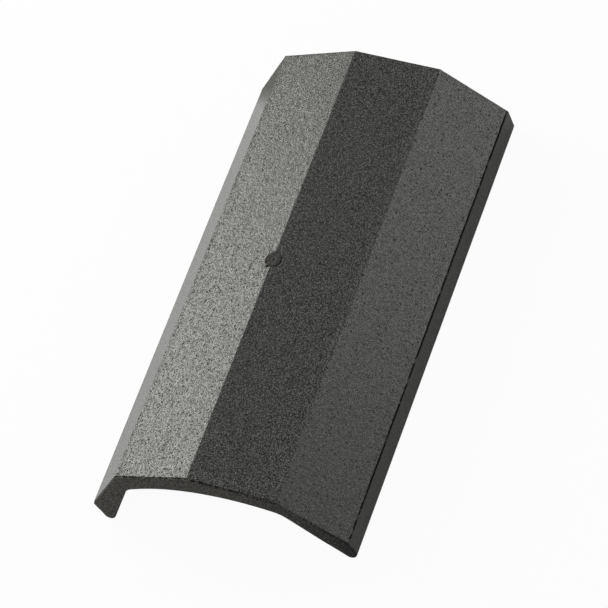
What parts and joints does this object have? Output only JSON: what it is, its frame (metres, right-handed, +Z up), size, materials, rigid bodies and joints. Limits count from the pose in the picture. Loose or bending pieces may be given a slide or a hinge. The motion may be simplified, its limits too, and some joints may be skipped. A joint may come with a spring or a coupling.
{
  "type": "ridge tile",
  "caption": "Straight faceted concrete ridge tile with an arched underside, upright side edges and a screw seat on its ridge line; it caps the joint where two roof slopes meet.",
  "frame": {"origin": "on the floor under the middle of the tile: halfway along its length and width, level with the bottom of its feet", "axes": "+Y along the ridge line, +X across the tile, +Z up out of the ridge"},
  "size_m": [0.2382, 0.42, 0.0979],
  "materials": {
    "coated_concrete": "dark grey granular coating, half matt, smoother on the side edges and ends"
  },
  "bodies": {
    "root": {"ridge_tile": "coated_concrete"}
  },
  "joints": []
}
